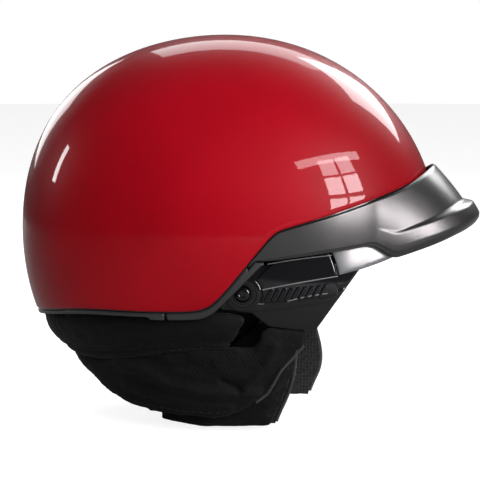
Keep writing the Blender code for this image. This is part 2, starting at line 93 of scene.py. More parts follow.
def floor_and_light():
    """Pale floor, soft studio light, and lamps laid out like the photograph's window."""
    bm = bmesh.new()
    bmesh.ops.create_circle(bm, cap_ends=True, segments=96, radius=FLOOR_R)
    me = bpy.data.meshes.new("floor")
    bm.to_mesh(me)
    bm.free()
    floor = new_object("floor", me)
    floor.location.z = -FLOOR_DROP

    def pale(n, l, b):
        b.inputs["Base Color"].default_value = (0.42, 0.42, 0.42, 1)
        b.inputs["Emission Color"].default_value = (1, 1, 1, 1)
        seen = n.new("ShaderNodeLightPath")
        glow = n.new("ShaderNodeMath")
        glow.operation = "MULTIPLY"
        glow.inputs[1].default_value = FLOOR_GLOW
        l.new(seen.outputs["Is Camera Ray"], glow.inputs[0])
        l.new(glow.outputs[0], b.inputs["Emission Strength"])
        b.inputs["Roughness"].default_value = 0.8
        b.inputs["Specular IOR Level"].default_value = 0.1
    me.materials.append(look("floor_pale", pale))

    world = bpy.data.worlds.new("studio")
    bpy.context.scene.world = world
    world.use_nodes = True
    nt = world.node_tree
    soft = nt.nodes["Background"]
    soft.inputs[0].default_value = (0.93, 0.95, 1.0, 1)
    soft.inputs[1].default_value = ROOM_GLOW
    sky = nt.nodes.new("ShaderNodeBackground")
    sky.inputs[0].default_value = (1, 1, 1, 1)
    seen = nt.nodes.new("ShaderNodeLightPath")
    pick = nt.nodes.new("ShaderNodeMixShader")
    nt.links.new(seen.outputs["Is Camera Ray"], pick.inputs[0])
    nt.links.new(soft.outputs[0], pick.inputs[1])
    nt.links.new(sky.outputs[0], pick.inputs[2])
    nt.links.new(pick.outputs[0], nt.nodes["World Output"].inputs["Surface"])
    bpy.context.scene.view_settings.view_transform = "Standard"

    def lamp(name, at, to, size, power, tint=(1, 1, 1), shines=True, fills=True):
        d = bpy.data.lights.new(name, "AREA")
        d.shape = "RECTANGLE"
        d.size, d.size_y = size
        d.energy = power
        d.color = tint
        o = new_object(name, d)
        o.location = at
        o.rotation_euler = (Vector(to) - Vector(at)).to_track_quat("-Z", "Y").to_euler()
        o.visible_glossy, o.visible_diffuse = shines, fills
    mid = Vector((0, ORIGIN_Y * MM, LIT_Z))
    lamp("softbox_top", (1.3, 0.0, 1.35), mid, (1.2, 0.6), 10)
    lamp("softbox_back", (1.5, 1.0, 0.6), mid, (0.7, 0.6), 6)
    lamp("softbox_front", mid + Vector((0.70, -0.46, 0.54)) * REAR_AWAY, mid, (0.9, 0.7), 26, fills=False)
    lamp("room", (-3.0, -0.6, 2.6), mid, (3.0, 3.0), 40, shines=False)
    lamp("front_fill", mid + Vector((-1.0, -0.72, 0.38)) * WINDOW_AWAY, mid, (1.6, 1.2), 58, shines=False)
    panes = Vector((-0.40, -0.86, 0.31)) * WINDOW_AWAY
    across = panes.cross(Vector((0, 0, 1))).normalized()
    for i in range(2):
        for k in range(3):
            at = (mid + panes + across * (PANE_STEP_X * i - PANE_STEP_X / 2)
                  + Vector((0, 0, PANE_STEP_Z * k + PANE_Z0)))
            lamp(f"window_{i}_{k}", at, mid, (0.31, 0.27), 11.0 if k < 2 else 7.0, (1.0, 0.93, 0.95),
                 fills=False)
    lamp("upper_window", mid + Vector((-0.38, -0.73, 0.52)) * WINDOW_AWAY, mid, (1.2, 0.13), 11.0,
         (1.0, 0.9, 0.92), fills=False)
    lamp("rear_window", mid + Vector((0.12, 0.95, 0.32)) * REAR_AWAY, mid, (0.14, 0.45), 6.0,
         fills=False)
    lamp("floor_fill", (1.2, 0.3, 2.8), (0.6, 0.4, 0), (3.0, 3.0), 14, shines=False)


floor_and_light()

# ---------------------------------------------------------------- the helmet's own surfaces (mm)

DOME_Z, DOME_R = 133.0, 130.0                        # middle of the dome and its mean radius
SHELL_THICK = 3.0
LENS_R, LENS_X, LENS_FULL = 130.0, 96.0, 262.0       # radius at the middle, and the curve towards the sides
LENS_PLAN_R = 110.0                                  # spaces the lens's columns evenly round its curve
HUB_X, HUB_R, ARM_R = 105.0, 12.8, 62.0
LENS_TOP, ARM_TOP = 52.0, 46.0                       # degrees above the level through the pivot
GRIP_START, GRIP_LONG, GRIP_LEAN = -35.0, 39.0, 4.8
GRIP_DROP, GRIP_TALL, GRIP_RISE = 5.3, 8.4, 0.075
GRIP_RIBS = 9
PEAK_END, PEAK_TIP = 78.75, 3.0                      # degrees from the front; least height at its ends
SKIRT_W0, SKIRT_WK, SKIRT_B0, SKIRT_BK = 78.0, 0.37, 68.0, 0.9
SKIRT_FRONT = 126.0
CURTAIN_END, ROLL_END = 120.0, 102.0                 # degrees from the back
PAD_OUT, PAD_IN = 34.6, 41.6                         # depths of the lining pads below the shell's outside
RIVET_Y, RIVET_Z, STRAP_LEAN = -50.0, 100.0, 0.25
STRAP_WIDE, STRAP_HALF = 22.0, 0.8                   # webbing width and half its thickness


def smooth(x):
    """0 below 0, 1 above 1, with an S curve between."""
    x = np.clip(x, 0.0, 1.0)
    return x * x * (3 - 2 * x)


def soft_max(a, b, k):
    """The larger of a and b, rounded over about k where they cross."""
    return 0.5 * (a + b + np.sqrt((a - b) ** 2 + k * k))


def soft_min(a, b, k):
    """The smaller of a and b, rounded over about k where they cross."""
    return 0.5 * (a + b - np.sqrt((a - b) ** 2 + k * k))


def dome_raw(phi, t):
    """Outer surface of the shell at phi from the front and t from the top (radians): an ellipsoid, wider at
    the back, a little fuller between its axes."""
    s = np.sin(t)
    u, v, w = -s * np.sin(phi), -s * np.cos(phi), np.cos(t)
    f = 1 + (0.012 + 0.018 * v) * 4 * (u * u * v * v + v * v * w * w + w * w * u * u)
    half_width, half_length, rise = 118.0 + 4.0 * v, 144.0 - 3.0 * v, 137.5 - 4.5 * w
    return np.stack([half_width * u * f, half_length * v * f, DOME_Z + rise * w * f], -1)


def dome(phi, t, out=0.0):
    """Outer surface of the shell, moved out along its normal."""
    phi, t = np.broadcast_arrays(np.asarray(phi, float), np.asarray(t, float))
    e = 1e-4
    p = dome_raw(phi, t)
    tt = np.maximum(t, 2e-3)        # the normal is not defined at the very top
    n = np.cross(dome_raw(phi + e, tt) - dome_raw(phi - e, tt),
                 dome_raw(phi, tt + e) - dome_raw(phi, tt - e))
    n /= np.linalg.norm(n, axis=-1, keepdims=True) + 1e-12
    n *= np.sign((n * (p - np.array([0, 0, DOME_Z]))).sum(-1, keepdims=True))
    return p + n * np.asarray(out, float)[..., None]


def rim_z(y):
    """Height of the shell's lower edge: level at the rear, a ramp up beside the face, then rising."""
    rear = 86.0 - 0.0022 * np.maximum(y - 65.0, 0) ** 2
    ramp = 114.5 - 1.27 * (y + 24.5)
    s = -y - 45.0
    return soft_min(soft_max(rear, ramp, 10.0), 140.8 + 0.23 * s + 0.0009 * s * s, 4.0)


def trim_z(y):
    """Height of the trims' lower edge."""
    side = soft_max(80.5, 105.6 - 1.06 * (y + 25.0), 7.0)
    return np.where(y > 38.0, rim_z(y) - 3.6, np.minimum(side, rim_z(y) - 2.0))


def t_at(phi, height):
    """Where the dome comes down to height(y), as an angle from the top."""
    phi = np.asarray(phi, float)
    lo, hi = np.full(phi.shape, 0.4), np.full(phi.shape, 2.5)
    for _ in range(30):
        mid = (lo + hi) / 2
        p = dome_raw(phi, mid)
        above = p[..., 2] > height(p[..., 1])
        lo, hi = np.where(above, mid, lo), np.where(above, hi, mid)
    return (lo + hi) / 2


def rim_t(phi):
    return t_at(phi, rim_z)


def lens_x(r):
    """Half width of the turned shield at radius r from the pivots' axis."""
    q = 1 - (r / LENS_R) ** 2
    root = np.sqrt(np.maximum(1 - 4 * q * LENS_X ** 2 / LENS_FULL ** 2, 0))
    return soft_min(HUB_X, np.sqrt(LENS_FULL ** 2 / 2 * (1 - root)), 6.0)


def on_lens(r, a, side, inward=0.0):
    """Point of the shield's surface at radius r and angle a (degrees) about the pivot."""
    a = np.radians(a)
    e = 0.5
    slope = (lens_x(r + e) - lens_x(np.maximum(r - e, 0))) / (e + np.minimum(r, e))
    n = np.sqrt(1 + slope ** 2)
    rr = r + inward * slope / n
    return np.stack([side * (lens_x(r) - inward / n), PIVOT_Y - rr * np.cos(a),
                     PIVOT_Z + rr * np.sin(a)], -1)


def about_pivot(y, z):
    """Radius and angle (degrees) of a point seen from the side, for on_lens."""
    return np.hypot(y - PIVOT_Y, z - PIVOT_Z), np.degrees(np.arctan2(z - PIVOT_Z, PIVOT_Y - y))


def between(a, b, k):
    """Point at k (0 to 1) on the line from a to b."""
    return [a[i] + (b[i] - a[i]) * k for i in (0, 1)]


# ---------------------------------------------------------------- mesh helpers

def add_mesh(name, bm, material, body, replaces=(), sharp=None):
    """Make a mesh a piece of its own; sharp is the crease angle in degrees."""
    bmesh.ops.recalc_face_normals(bm, faces=bm.faces)
    if bm.calc_volume(signed=True) < 0:
        bmesh.ops.reverse_faces(bm, faces=bm.faces)
    me = bpy.data.meshes.new(name)
    bm.to_mesh(me)
    bm.free()
    ob = new_object(name, me)
    me.materials.append(material)
    me.shade_smooth()
    if sharp:
        me.set_sharp_from_angle(angle=math.radians(sharp))
    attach(ob, body)
    if replaces:
        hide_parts(*replaces)
    return ob


def place(bm, points):
    """Put a mesh's points at places in mm, helmet axes."""
    pts = np.asarray(points) + SHIFT
    for v, p in zip(bm.verts, pts * MM):
        v.co = p


def slab_mesh(fn, nu, nv, nw=1):
    """Closed block of nu x nv x nw cells laid on fn(u, v, w), w = 0 outside."""
    bm = bmesh.new()
    bmesh.ops.create_grid(bm, x_segments=nu, y_segments=nv, size=0.5)
    top = bm.faces[:]
    for k in range(nw):
        made = bmesh.ops.extrude_face_region(bm, geom=top)["geom"]
        top = [g for g in made if isinstance(g, bmesh.types.BMFace)]
        for v in made:
            if isinstance(v, bmesh.types.BMVert):
                v.co.z = (k + 1.0) / nw
    co = np.array([v.co[:] for v in bm.verts])
    place(bm, fn(co[:, 0] + 0.5, co[:, 1] + 0.5, co[:, 2]))
    return bm


def plate(fn, nu, nv, edge, span):
    """Closed plate with round edges: fn(u, v, depth) with depth in mm; edge is half its thickness,
    span (mm) the plate's size along u and v, used to keep the edge's roundness true."""
    ring = 4

    def lay(n, size):
        e = edge / size
        a = np.sin(np.linspace(0, math.pi / 2, ring + 1)) * e
        return np.concatenate([e - a[:0:-1], np.linspace(e, 1 - e, n + 1), 1 - e + a[1:]])

    us, vs = lay(nu, span[0]), lay(nv, span[1])
    bm = bmesh.new()
    bmesh.ops.create_grid(bm, x_segments=len(us) - 1, y_segments=len(vs) - 1, size=0.5)
    made = bmesh.ops.extrude_face_region(bm, geom=bm.faces[:])["geom"]
    for v in made:
        if isinstance(v, bmesh.types.BMVert):
            v.co.z = 1.0
    co = np.array([v.co[:] for v in bm.verts])
    iu = np.round((co[:, 0] + 0.5) * (len(us) - 1)).astype(int)
    iv = np.round((co[:, 1] + 0.5) * (len(vs) - 1)).astype(int)
    u, v = us[iu], vs[iv]
    du = np.clip(1 - np.minimum(u, 1 - u) * span[0] / edge, 0, 1)
    dv = np.clip(1 - np.minimum(v, 1 - v) * span[1] / edge, 0, 1)
    d = np.clip(np.hypot(du, dv), 0, 1)
    half = edge * np.sqrt(1 - d * d)
    depth = np.where(co[:, 2] < 0.5, edge - half, edge + half)
    place(bm, fn(u, v, depth))
    bmesh.ops.remove_doubles(bm, verts=bm.verts, dist=2e-6)
    return bm


def cap_mesh(columns, rows, limit, depth_out, depth_in, edge_rows=5):
    """Thick open dome with a rounded lower edge. limit(phi) is its lowest t. Depths are mm below the
    shell's outer surface."""
    bm = bmesh.new()
    total = 2 * rows + edge_rows
    bmesh.ops.create_uvsphere(bm, u_segments=columns, v_segments=total, radius=1.0)
    co = np.array([v.co[:] for v in bm.verts])
    row = np.round(np.arccos(np.clip(co[:, 2], -1, 1)) / math.pi * total)
    phi = np.arctan2(-co[:, 0], -co[:, 1])
    r = (depth_in - depth_out) / 2
    lim = limit(phi) - r / DOME_R
    th = np.clip((row - rows) / edge_rows, 0, 1) * math.pi
    s = np.where(row <= rows, row / rows, np.where(row >= rows + edge_rows, (total - row) / rows, 1.0))
    t = s * lim + np.where((row > rows) & (row < rows + edge_rows), r * np.sin(th) / DOME_R, 0)
    place(bm, dome(phi, t, -(depth_out + r * (1 - np.cos(th)))))
    return bm


def tube(name, points, radius, material, body, res=3, cyclic=False):
    """Round cord laid through points (mm, in the helmet's own axes)."""
    cu = bpy.data.curves.new(name, "CURVE")
    cu.dimensions = "3D"
    cu.bevel_depth = radius * MM
    cu.bevel_resolution = res
    cu.use_fill_caps = True
    sp = cu.splines.new("POLY")
    sp.points.add(len(points) - 1)
    for p, q in zip(sp.points, points):
        p.co = (q[0] * MM, (q[1] + ORIGIN_Y) * MM, q[2] * MM, 1)
    sp.use_cyclic_u = cyclic
    cu.materials.append(material)
    ob = new_object(name, cu)
    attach(ob, body)


# ---------------------------------------------------------------- materials

def tex_noise(n, l, scale, detail, rough=0.5):
    c = n.new("ShaderNodeTexCoord")
    t = n.new("ShaderNodeTexNoise")
    t.inputs["Scale"].default_value = scale
    t.inputs["Detail"].default_value = detail
    t.inputs["Roughness"].default_value = rough
    l.new(c.outputs["Object"], t.inputs["Vector"])
    return t


def cells(n, l, scale, randomness=1.0):
    """Distance to the middle of each cell of a cell pattern."""
    c = n.new("ShaderNodeTexCoord")
    v = n.new("ShaderNodeTexVoronoi")
    v.inputs["Scale"].default_value = scale
    v.inputs["Randomness"].default_value = randomness
    l.new(c.outputs["Object"], v.inputs["Vector"])
    return v.outputs["Distance"]


def uneven(n, l, b, source, low, high):
    """Roughness that follows a pattern, from low to high."""
    r = n.new("ShaderNodeMapRange")
    l.new(source, r.inputs["Value"])
    r.inputs["To Min"].default_value = low
    r.inputs["To Max"].default_value = high
    l.new(r.outputs["Result"], b.inputs["Roughness"])
    return r


def ramp(n, l, source, stops):
    """Colours along a pattern's value; stops are (value, colour)."""
    r = n.new("ShaderNodeValToRGB")
    r.color_ramp.elements[0].position, r.color_ramp.elements[0].color = stops[0][0], (*stops[0][1], 1)
    r.color_ramp.elements[1].position, r.color_ramp.elements[1].color = stops[-1][0], (*stops[-1][1], 1)
    for at, colour in stops[1:-1]:
        e = r.color_ramp.elements.new(at)
        e.color = (*colour, 1)
    l.new(source, r.inputs["Fac"])
    return r


def bump(n, l, b, source, strength, distance, chain=None, target="Normal"):
    """Fine relief from a pattern, on top of an earlier one where chain is given."""
    k = n.new("ShaderNodeBump")
    k.inputs["Strength"].default_value = strength
    k.inputs["Distance"].default_value = distance
    l.new(source, k.inputs["Height"])
    if chain is not None:
        l.new(chain.outputs["Normal"], k.inputs["Normal"])
    l.new(k.outputs["Normal"], b.inputs[target])
    return k


def red_paint(n, l, b):
    """Solid red with fine flake and a slightly wavy clear coat; its large darker and lighter patches of red
    are painted mottled reflections.
    """
    flake = tex_noise(n, l, 900.0, 2.0)
    # tone: large patches that paint mottled reflections into the red base colour
    tone = tex_noise(n, l, 7.0, 4.0)
    mix = n.new("ShaderNodeMath")
    mix.operation = "MULTIPLY_ADD"
    l.new(flake.outputs["Fac"], mix.inputs[0])
    mix.inputs[1].default_value = 0.35
    l.new(tone.outputs["Fac"], mix.inputs[2])
    c = ramp(n, l, mix.outputs[0], [(0.35, (0.22, 0.0008, 0.004)), (0.62, (0.31, 0.0012, 0.007)),
                                    (0.95, (0.40, 0.002, 0.011))])
    l.new(c.outputs["Color"], b.inputs["Base Color"])
    b.inputs["Roughness"].default_value = 0.42
    b.inputs["Specular IOR Level"].default_value = 0.05
    b.inputs["Coat Weight"].default_value = 0.6
    b.inputs["Coat Roughness"].default_value = 0.03
    b.inputs["Coat IOR"].default_value = 1.3
    peel = tex_noise(n, l, 160.0, 1.0)
    bump(n, l, b, peel.outputs["Fac"], 0.05, 0.0002, target="Coat Normal")


def moulded(colour, rough, grain, strength, coat=0.0):
    """Plastic with a fine moulded grain and slightly uneven tone."""
    def build(n, l, b):
        tone = tex_noise(n, l, 18.0, 5.0)
        dark, lite = tuple(c * 0.86 for c in colour), tuple(min(1, c * 1.16) for c in colour)
        c = ramp(n, l, tone.outputs["Fac"], [(0.3, dark), (0.7, lite)])
        l.new(c.outputs["Color"], b.inputs["Base Color"])
        uneven(n, l, b, tex_noise(n, l, 60.0, 4.0).outputs["Fac"], rough - 0.06, rough + 0.06)
        b.inputs["Specular IOR Level"].default_value = 0.5
        b.inputs["Coat Weight"].default_value = coat
        b.inputs["Coat Roughness"].default_value = 0.03
        g = tex_noise(n, l, grain, 2.0)
        bump(n, l, b, g.outputs["Fac"], strength, 0.0003)
    return build


def gloss_black(n, l, b):
    """Glossy black plastic with faint wiped patches."""
    b.inputs["Base Color"].default_value = (0.006, 0.006, 0.007, 1)
    wiped = uneven(n, l, b, tex_noise(n, l, 35.0, 6.0, 0.7).outputs["Fac"], 0.07, 0.16)
    wiped.inputs["From Min"].default_value = 0.35
    b.inputs["Specular IOR Level"].default_value = 0.3
    b.inputs["Coat Weight"].default_value = 0.2
    b.inputs["Coat Roughness"].default_value = 0.05
    bump(n, l, b, tex_noise(n, l, 120.0, 1.0).outputs["Fac"], 0.03, 0.0002)


WAVE_SCALE = 3.14 / 20.0        # the wave texture's Scale for one thread to each unit of length


def weave(colour, pitch, depth, sheen, rough=0.85):
    """Woven cloth: two crossed sets of threads (pitch and depth in mm), fuzz and faint wear."""
    def build(n, l, b):
        c = n.new("ShaderNodeTexCoord")
        waves = []
        for turn in (45, -45):
            m = n.new("ShaderNodeMapping")
            m.inputs["Rotation"].default_value = (math.radians(35), 0, math.radians(turn))
            l.new(c.outputs["Object"], m.inputs["Vector"])
            w = n.new("ShaderNodeTexWave")
            w.inputs["Scale"].default_value = WAVE_SCALE / (pitch * MM)
            w.inputs["Distortion"].default_value = 0.6
            w.inputs["Detail"].default_value = 1.0
            l.new(m.outputs["Vector"], w.inputs["Vector"])
            waves.append(w)
        top = n.new("ShaderNodeMath")
        top.operation = "MAXIMUM"
        l.new(waves[0].outputs["Fac"], top.inputs[0])
        l.new(waves[1].outputs["Fac"], top.inputs[1])
        worn = tex_noise(n, l, 14.0, 6.0, 0.6)
        dark, lite = tuple(x * 0.7 for x in colour), tuple(min(1, x * 1.5) for x in colour)
        col = ramp(n, l, worn.outputs["Fac"], [(0.3, dark), (0.55, colour), (0.8, lite)])
        l.new(col.outputs["Color"], b.inputs["Base Color"])
        b.inputs["Roughness"].default_value = rough
        b.inputs["Sheen Weight"].default_value = sheen
        b.inputs["Sheen Roughness"].default_value = 0.45
        b.inputs["Specular IOR Level"].default_value = 0.1
        k = bump(n, l, b, top.outputs[0], 0.5, depth * MM)
        bump(n, l, b, tex_noise(n, l, 45.0, 6.0, 0.65).outputs["Fac"], 0.25, 0.0012, k)
    return build


def spacer_mesh(n, l, b):
    """Knitted spacer mesh: rows of small holes in a dull face, their near-black colour painted shade in the
    openings.
    """
    holes = cells(n, l, 420.0, 0.25)
    # near-black at the holes' middles is painted shade; the face between them is the knit's own dull black
    col = ramp(n, l, holes, [(0.12, (0.003, 0.003, 0.003)), (0.3, (0.022, 0.022, 0.024)),
                             (0.7, (0.028, 0.028, 0.03))])
    l.new(col.outputs["Color"], b.inputs["Base Color"])
    b.inputs["Roughness"].default_value = 0.9
    b.inputs["Sheen Weight"].default_value = 0.08
    b.inputs["Specular IOR Level"].default_value = 0.2
    bump(n, l, b, holes, 0.8, 0.0008)


def foam_look(n, l, b):
    """Moulded bead foam with a thin black skin."""
    grains = cells(n, l, 260.0)
    col = ramp(n, l, grains, [(0.1, (0.03, 0.03, 0.031)), (0.8, (0.012, 0.012, 0.013))])
    l.new(col.outputs["Color"], b.inputs["Base Color"])
    b.inputs["Roughness"].default_value = 0.8
    bump(n, l, b, grains, 0.5, 0.0005)


def smoked(n, l, b):
    """Lightly smoked clear plastic."""
    b.inputs["Base Color"].default_value = (0.22, 0.23, 0.24, 1)
    uneven(n, l, b, tex_noise(n, l, 30.0, 5.0).outputs["Fac"], 0.12, 0.24)
    b.inputs["IOR"].default_value = 1.45
    b.inputs["Specular IOR Level"].default_value = 0.25
    b.inputs["Transmission Weight"].default_value = 0.55
    b.inputs["Coat Weight"].default_value = 0.1
    b.inputs["Coat Roughness"].default_value = 0.15


def steel(n, l, b):
    """Brushed stainless steel."""
    brushed = tex_noise(n, l, 240.0, 5.0)
    c = ramp(n, l, brushed.outputs["Fac"], [(0.3, (0.42, 0.42, 0.43)), (0.7, (0.62, 0.62, 0.63))])
    l.new(c.outputs["Color"], b.inputs["Base Color"])
    b.inputs["Metallic"].default_value = 1.0
    uneven(n, l, b, brushed.outputs["Fac"], 0.22, 0.42)
    bump(n, l, b, brushed.outputs["Fac"], 0.08, 0.0001)


RED = look("red_shell", red_paint)
PEAK = look("peak_grey", moulded((0.017, 0.017, 0.0175), 0.30, 900.0, 0.12))
TRIM = look("trim_grey", moulded((0.024, 0.024, 0.025), 0.38, 900.0, 0.15))
GLOSS = look("gloss_black", gloss_black)
# pale grey for the raised lines: a painted highlight against the gloss black around them
PAINTED_HIGHLIGHT_BEAD = look("painted_highlight_bead", moulded((0.16, 0.16, 0.165), 0.25, 700.0, 0.05, 0.5))
CLOTH = look("skirt_fabric", weave((0.0055, 0.0055, 0.006), 0.9, 0.25, 0.03))
ROLL = look("roll_fabric", weave((0.005, 0.005, 0.0055), 0.7, 0.12, 0.03, 0.7))
PIPING = look("piping", weave((0.05, 0.05, 0.053), 0.6, 0.1, 0.1, 0.6))
THREAD = look("thread", weave((0.02, 0.02, 0.021), 0.4, 0.1, 0.05))
KNIT = look("knit_lining", spacer_mesh)
FOAM = look("foam", foam_look)
LENS = look("lens", smoked)
STEEL = look("steel", steel)
WEB = look("webbing", weave((0.012, 0.012, 0.013), 1.4, 0.35, 0.06, 0.75))
PATCH = look("woven_patch", weave((0.30, 0.30, 0.31), 0.8, 0.15, 0.2, 0.7))
TONGUE = look("tongue_black", moulded((0.03, 0.03, 0.032), 0.4, 800.0, 0.1))
LEVER = look("lever_red", moulded((0.42, 0.01, 0.015), 0.32, 700.0, 0.08, 0.4))


# ---------------------------------------------------------------- hard shell, liner foam, trims

def outer_shell():
    """Painted outside, bare black on its inner face."""
    bm = cap_mesh(224, 64, rim_t, 0.0, SHELL_THICK)
    ob = add_mesh("shell", bm, RED, "helmet", ["outer_shell"])
    ob.data.materials.append(TRIM)
    middle = Vector((0, ORIGIN_Y, DOME_Z)) * MM
    for face in ob.data.polygons:
        face.material_index = int(face.normal.dot(face.center - middle) < 0)


def rim_seal():
    """Thin black edge seal along the shell's lower edge, seen as the dark joint line."""
    phi = np.linspace(-math.pi, math.pi, 361)[:-1]
    p = dome(phi, rim_t(phi) + 0.3 / DOME_R, -2.2)
    tube("rim_seal", p, 1.1, GLOSS, "helmet", 2, True)


def trim_piece(name, start, end, count, node, thick):
    """Edge strip below the shell from start to end (degrees from the front), ending under the peak."""
    first, last = np.radians(start), np.radians(end)

    def fn(u, v, depth):
        phi = first + (last - first) * u
        deg = np.abs(np.degrees(phi))
        top = rim_t(phi) + 1.0 / DOME_R
        low = t_at(phi, trim_z)
        if node != "rear_trim":
            tip = dome(phi, rim_t(phi))[..., 2] - PEAK_TIP
            under = t_at(phi, lambda y: np.minimum(peak_low(deg), tip) - 1.1)
            top = np.where(deg < PEAK_END + 0.4, np.maximum(top, under), top)
        low = np.maximum(low, top + 1.6 / 120.0)
        return dome(phi, top + (low - top) * v, -(depth + 0.1))
    bm = plate(fn, count, 8, thick / 2, (abs(end - start) * 2.1, 7.0))
    add_mesh(name, bm, TRIM, "helmet", [node])


def peak_low(deg):
    """Height of the peak's lower edge at an angle from the front, its corners eased."""
    k = [0, 8, 16, 22.5, 29.3, 35.8, 42.5, 57.6, 74.1, PEAK_END]
    z = [136.2, 134.8, 131.5, 127.4, 123.1, 118.9, 128.5, 125.3, 120.9, 122.0]
    out = 0
    for s in (-1.2, -0.6, 0, 0.6, 1.2):
        out = out + np.interp(np.abs(deg + s), k, z)
    return out / 5


def peak_piece():
    """The wrap-around peak: flush at the sides, stepped brim in front, rolled edges."""
    rows = np.array([0, 0.27, 0.50, 0.575, 0.60, 0.62, 0.72, 0.80, 0.87, 0.94, 1.0])
    reach = np.array([7.0, 13.2, 18.4, 20.0, 25.6, 27.0, 29.0, 30.3, 29.8, 27.8, 25.0])

    def fn(u, v, depth):
        deg = -PEAK_END + 2 * PEAK_END * u
        phi = np.radians(deg)
        a = np.abs(deg)
        brim = np.clip(1 - (a / 42.0) ** 2, 0, None) ** 1.5
        edge = dome_raw(phi, rim_t(phi))
        top = edge[..., 2] - 1.0 + 7.1 * np.clip(1 - (a / 37.0) ** 2, 0, None) ** 2
        low = np.minimum(peak_low(deg), edge[..., 2] - PEAK_TIP)
        z = top + (low - top) * v
        p = dome_raw(phi, t_at(phi, lambda y: z))
        lip = 0.9 * smooth((v - 0.9) / 0.04) * smooth((a - 32.0) / 5.0)
        out = 0.4 + (np.interp(v, rows, reach) - 0.4) * brim - depth - lip * 0.6
        h = p[..., :2] / np.linalg.norm(p[..., :2], axis=-1, keepdims=True)
        q = p.copy()
        q[..., :2] += h * out[..., None]
        return q
    bm = plate(fn, 200, 56, 1.25, (340.0, 42.0))
    add_mesh("peak", bm, PEAK, "helmet", ["peak_visor"])


def foam_liner():
    """The carried foam solid keeps its place; only its look changes."""
    ob = frame["nodes"]["eps_liner"]
    ob.data.materials.clear()
    ob.data.materials.append(FOAM)


# ---------------------------------------------------------------- sun shield

def shield_lens():
    """The lens: a turned band between the two arms, from low to high in degrees about the pivot."""
    edge = float(lens_x(np.array(ARM_R + 0.3)))
    top_angle = math.asin(edge / LENS_PLAN_R)

    def lens_r(ax):
        return LENS_R * np.sqrt(1 - (ax / LENS_X) ** 2 * (1 - (ax / LENS_FULL) ** 2))

    def fn(u, v, depth):
        x = LENS_PLAN_R * np.sin(top_angle * (2 * u - 1))
        ax = np.abs(x)
        r = lens_r(ax)
        low = 10.5 + 6.0 * np.clip((r - 60.0) / 73.0, 0, 1) ** 2
        high = LENS_TOP - 4.0 * smooth((ax - 60.0) / (edge - 60.0))
        e = 0.05
        dr = (lens_r(ax + e) - r) / e
        n = np.sqrt(1 + dr ** 2)
        a = np.radians(low + (high - low) * v)
        rr = r - depth / n
        return np.stack([x + np.sign(x) * depth * dr / n, PIVOT_Y - rr * np.cos(a),
                         PIVOT_Z + rr * np.sin(a)], -1)
    bm = plate(fn, 96, 28, 1.0, (250.0, 70.0))
    add_mesh("shield_lens", bm, LENS, "sun_shield", ["sun_shield_lens"])


def shield_sides(tag, side):
    """One arm of the shield, and the ribbed grip below it."""
    def arm(u, v, depth):
        r = HUB_R + (ARM_R - 0.5 - HUB_R) * u
        low = -np.degrees(np.arcsin((GRIP_DROP + 0.9 - GRIP_RISE * (r - 12.0)) / r))
        a = low + (ARM_TOP - low) * v
        return on_lens(r, a, side, depth)
    add_mesh(f"shield_side_{tag}", plate(arm, 40, 30, 0.95, (50.0, 32.0)), GLOSS, "sun_shield",
             [f"shield_arm_{tag}"])

    def grip(u, v, w):
        k = u * GRIP_RIBS
        wave = k - np.floor(k)
        ridge = smooth(np.clip(1.6 - np.abs(wave - 0.5) * 5.2, 0, 1))
        ends = smooth(np.minimum(v, 1 - v) / 0.1)
        y = GRIP_START - GRIP_LONG * u - GRIP_LEAN * v
        z = PIVOT_Z - GRIP_DROP + GRIP_RISE * GRIP_LONG * u + GRIP_TALL * v
        return on_lens(*about_pivot(y, z), side, -0.35 - (1 - w) * (0.35 + ridge * ends))
    add_mesh(f"shield_ribs_{tag}", slab_mesh(grip, GRIP_RIBS * 14, 14), GLOSS, "sun_shield",
             [f"shield_grip_{tag}"], 50)


def side_plate(tag, side):
    """Fixed cover under the arm; low and top are points along its edges, from the rear forward."""
    low = [(-8, 86.5), (-28.5, 85.0), (-40, 75.6), (-57, 73.2), (-71, 72)]
    top = [(2, 113), (-22, 117), (-48, 119), (-76, 119), (-103, 117)]

    def along(u, edge):
        return [np.interp(u, np.linspace(0, 1, len(edge)), [p[i] for p in edge]) for i in (0, 1)]

    def fn(u, v, depth):
        y, z = between(along(u, low), along(u, top), v)
        d1 = np.abs(z - (95.5 + 0.19 * (-y - 57))) - 0.7
        line = 0.35 * smooth(1 - np.clip(d1, 0, 1)) * smooth((-y - 48) / 6.0)
        step = 0.5 * smooth((88.0 + 0.12 * (-y - 40) - z) / 2.0)
        relief = (line + 0.7 * step) * (depth < 1.2)       # on the outer face only
        return on_lens(*about_pivot(y, z), side, 3.4 + depth + relief)
    add_mesh(f"side_cover_{tag}", plate(fn, 120, 64, 1.3, (70.0, 42.0)), GLOSS, "helmet",
             [f"side_plate_{tag}"])


BEAD_R, BEAD_BOW = 0.42, 0.6        # radius of a raised line and its rise at the middle, mm


def beads(tag, side):
    """Thin raised lines moulded along the arm and the side cover; their pale grey is a painted highlight
    where they catch light.
    """
    lines = (("upper", (-39, 118.0), (-80, 123.0), -0.25, "sun_shield"),
             ("middle", (-36, 101.3), (-84, 109.3), -0.25, "sun_shield"),
             ("lower", (-52, 93.9), (-77.5, 98.4), -0.6, "sun_shield"),
             ("cover", (-14, 89.8), (-37, 91.6), 2.5, "helmet"))
    for label, a, b, inward, body in lines:
        path = []
        for k in np.linspace(0, 1, 24):
            y, z = between(a, b, k)
            path.append(on_lens(*about_pivot(y, z + BEAD_BOW * math.sin(k * math.pi)), side, inward))
        # the lines carry the pale grey painted highlight
        tube(f"bead_{label}_{tag}", path, BEAD_R, PAINTED_HIGHLIGHT_BEAD, body)


